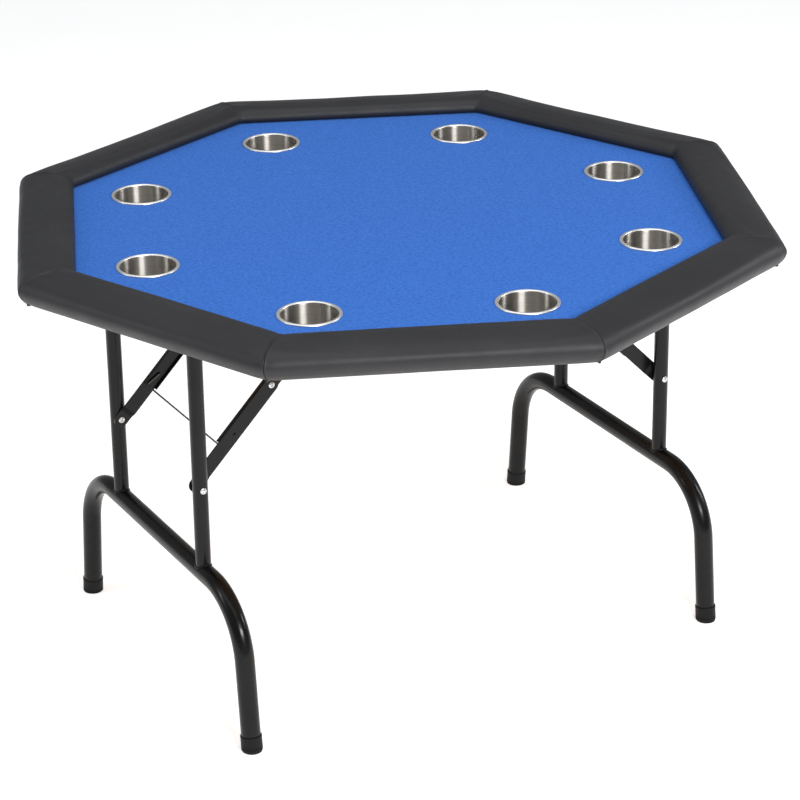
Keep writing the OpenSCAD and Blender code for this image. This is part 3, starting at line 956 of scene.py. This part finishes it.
def bead(centre, post_r, bow_r, bow_axis_z):
    """A closed tube along the line where a post of post_r stands on a bow of bow_r."""
    turns, ring, base_r, ripple = 150, 10, 1.7 * MM, 0.25 * MM
    pulses = 34
    path_r = post_r + 0.1 * MM
    points = []
    for i in range(turns):
        angle = 2 * math.pi * i / turns
        wander = noise.noise(Vector((math.cos(angle) * 2, math.sin(angle) * 2, centre.y * 30)))
        size = base_r + ripple * abs(math.sin(angle * pulses / 2)) + 0.4 * MM * wander
        x = path_r * math.cos(angle)
        height = bow_axis_z + math.sqrt(bow_r**2 - min(abs(x), bow_r - 1 * MM) ** 2) + 0.2 * MM
        middle = Vector((centre.x + x, centre.y + path_r * math.sin(angle), height))
        outward = Vector((math.cos(angle), math.sin(angle), 0))
        for j in range(ring):
            around = 2 * math.pi * j / ring
            spoke = outward * math.cos(around) + Vector((0, 0, 1)) * math.sin(around)
            points.append(middle + spoke * size)
    return points, [quad(i, (i + 1) % turns, j, ring) for i in range(turns) for j in range(ring)]


SPLAY = math.radians(5.5)
CAP_R, CAP_H, BOW_R = 17.5 * MM, 27 * MM, 16.05 * MM


def foot_caps():
    """Moulded caps pushed over the ends of the bow, with a grip band and a level sole."""
    profile = [(0, -4 * MM), (CAP_R - 1.2 * MM, -4 * MM), (CAP_R, 2.5 * MM)]
    for groove in (4.5, 7.0):
        profile += [(CAP_R, groove * MM), (CAP_R - 0.6 * MM, (groove + 0.35) * MM),
                    (CAP_R - 0.6 * MM, (groove + 0.85) * MM), (CAP_R, (groove + 1.2) * MM)]
    profile += [(CAP_R - 0.1 * MM, CAP_H - 5 * MM), (CAP_R + 0.1 * MM, CAP_H - 4 * MM),
                (CAP_R + 0.1 * MM, CAP_H - 1.6 * MM)]
    profile += arc((CAP_R - 0.7 * MM, CAP_H - 0.8 * MM), 0.8 * MM, 5, 120, 6)
    profile += [(BOW_R, CAP_H - 0.6 * MM), (BOW_R, 5 * MM), (0, 5 * MM)]
    shape = lathe(profile, 72)
    for side, sx in SIDES.items():
        for end, sy in ENDS.items():
            low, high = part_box(f"foot_cap_{side}_{end}")
            lean = math.tan(SPLAY) * (high.z + low.z) / 2
            foot = Vector(((low.x + high.x) / 2, (low.y + high.y) / 2 + sy * lean, 0))
            matrix = Matrix.Translation(foot) @ Matrix.Rotation(sy * SPLAY, 4, "X")
            points, faces = placed(shape, matrix)
            points = [Vector((p.x, p.y, max(p.z, 0))) for p in points]
            name, body = f"moulded_cap_{side}_{end}", f"leg_frame_{side}"
            cap = make_piece(name, points, faces, "cap_plastic", body)
            sharpen(cap, 40)
            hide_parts(f"foot_cap_{side}_{end}")


# ---- Camera, light and floor ----

CAMERA_AIM = Vector((-0.0891, -0.1891, 0.4836))
CAMERA_DISTANCE = 4.6946
CAMERA_AZIMUTH, CAMERA_ELEVATION, CAMERA_ROLL = -28.62, 23.91, -0.76
CAMERA_LENS = 130.5


def make_camera():
    azimuth, elevation = math.radians(CAMERA_AZIMUTH), math.radians(CAMERA_ELEVATION)
    back = Vector((
        math.sin(azimuth) * math.cos(elevation),
        -math.cos(azimuth) * math.cos(elevation),
        math.sin(elevation),
    ))
    camera = bpy.data.objects.new("camera", bpy.data.cameras.new("camera"))
    bpy.context.scene.collection.objects.link(camera)
    camera.location = CAMERA_AIM + back * CAMERA_DISTANCE
    camera.rotation_mode = "QUATERNION"
    roll = Quaternion((0, 0, 1), math.radians(CAMERA_ROLL))
    camera.rotation_quaternion = (-back).to_track_quat("-Z", "Y") @ roll
    camera.data.lens = CAMERA_LENS
    camera.data.sensor_width = 36
    bpy.context.scene.camera = camera


def softbox(name, place, aim, size, power):
    """A rectangular studio light at place, facing aim."""
    data = bpy.data.lights.new(name, "AREA")
    data.shape = "RECTANGLE"
    data.size, data.size_y = size
    data.energy = power
    light = bpy.data.objects.new(name, data)
    bpy.context.scene.collection.objects.link(light)
    light.location = place
    light.rotation_euler = (Vector(aim) - Vector(place)).to_track_quat("-Z", "Y").to_euler()


def round_table(turn, distance, height):
    """A place that many degrees to the camera's right, seen from the table."""
    angle = math.radians(CAMERA_AZIMUTH + turn)
    return (distance * math.sin(angle), -distance * math.cos(angle), height)


def make_studio():
    world = bpy.data.worlds.new("studio")
    world.use_nodes = True
    background = world.node_tree.nodes["Background"]
    background.inputs["Color"].default_value = (0.97, 0.985, 1.0, 1)
    background.inputs["Strength"].default_value = 0.33
    bpy.context.scene.world = world
    bpy.context.scene.view_settings.view_transform = "Standard"
    table = (0, 0, 0.7)
    softbox("overhead", (-0.3, -0.2, 3.6), table, (3.6, 3.6), 54)
    softbox("key_light", round_table(23, 3.6, 2.3), table, (1.3, 0.6), 90)
    softbox("right_light", round_table(98, 3.4, 2.2), table, (0.4, 1.5), 32)
    softbox("left_light", round_table(-77, 3.4, 2.2), table, (0.26, 1.5), 17)


def make_floor():
    half = 14
    corners = [(-half, -half, 0), (half, -half, 0), (half, half, 0), (-half, half, 0)]
    mesh = bpy.data.meshes.new("floor")
    mesh.from_pydata(corners, [], [(0, 1, 2, 3)])
    floor = bpy.data.objects.new("floor", mesh)
    bpy.context.scene.collection.objects.link(floor)
    look = Look("floor", Specular_IOR_Level=0.1, Roughness=0.75, Emission_Strength=0.5)
    look.shader.inputs["Emission Color"].default_value = (1, 1, 1, 1)
    tone = look.ramp(look.noise(3), (0.3, srgb(246, 246, 247)), (0.7, srgb(249, 249, 249)))
    look.drive("Base Color", tone)
    mesh.materials.append(look.material)


make_camera()
make_studio()
make_floor()
dress_cad_nodes()
rail_pads()
flap_staples()
corner_tucks()
felt_cover()
drinks_cups()
rivets()
screws()
weld_beads()
foot_caps()
